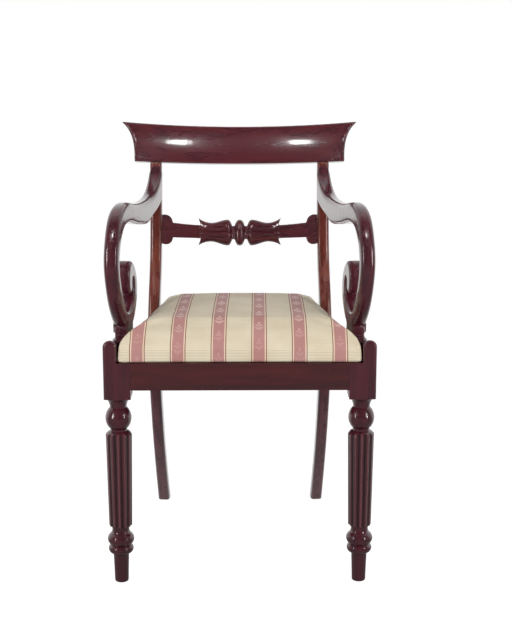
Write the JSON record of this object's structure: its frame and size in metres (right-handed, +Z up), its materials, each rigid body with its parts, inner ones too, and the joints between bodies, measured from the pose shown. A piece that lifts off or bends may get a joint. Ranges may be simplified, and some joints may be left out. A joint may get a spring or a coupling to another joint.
{
  "type": "dining armchair",
  "caption": "Open-arm dining chair in polished mahogany with scrolled arms, reeded turned front legs, sabre rear legs, a flared crest rail and a striped drop-in seat.",
  "frame": {"origin": "on the floor, at the middle of the bounding box", "axes": "+Z up; the chair faces -Y, so +Y runs back towards the rear feet; +X is on the right of someone who faces the chair"},
  "size_m": [0.512, 0.514, 0.8569],
  "materials": {
    "mahogany": "french polished",
    "beech": "unfinished",
    "striped_cover": "woven stripe",
    "webbing": "woven",
    "hessian": "woven",
    "stuffing": "loose fibre",
    "lining": "plain woven",
    "screw_steel": "dull",
    "tack_steel": "blued"
  },
  "bodies": {
    "chair": {"arm_dowels": "beech", "arm_left": "mahogany", "arm_right": "mahogany", "arm_screws": "screw_steel", "corner_block_front_left": "beech", "corner_block_front_right": "beech", "corner_block_rear_left": "beech", "corner_block_rear_right": "beech", "corner_block_screws": "screw_steel", "crest_rail": "mahogany", "front_leg_left": "mahogany", "front_leg_right": "mahogany", "front_seat_rail": "mahogany", "mid_rail": "mahogany", "rear_leg_left": "mahogany", "rear_leg_right": "mahogany", "rear_seat_rail": "mahogany", "screw_pellets": "mahogany", "side_seat_rail_left": "mahogany", "side_seat_rail_right": "mahogany"},
    "seat": {"cover_tacks": "tack_steel", "seat_cover": "striped_cover", "seat_frame_dowels": "beech", "seat_frame_front": "beech", "seat_frame_left": "beech", "seat_frame_rear": "beech", "seat_frame_right": "beech", "seat_hessian": "hessian", "seat_lining": "lining", "seat_stuffing": "stuffing", "webbing_crosswise": "webbing", "webbing_lengthwise": "webbing"}
  },
  "joints": [
    {"name": "seat_lift", "type": "slide", "parent": "chair", "child": "seat", "axis": [0, 0, 1], "range_m": [0, 0.3]}
  ]
}
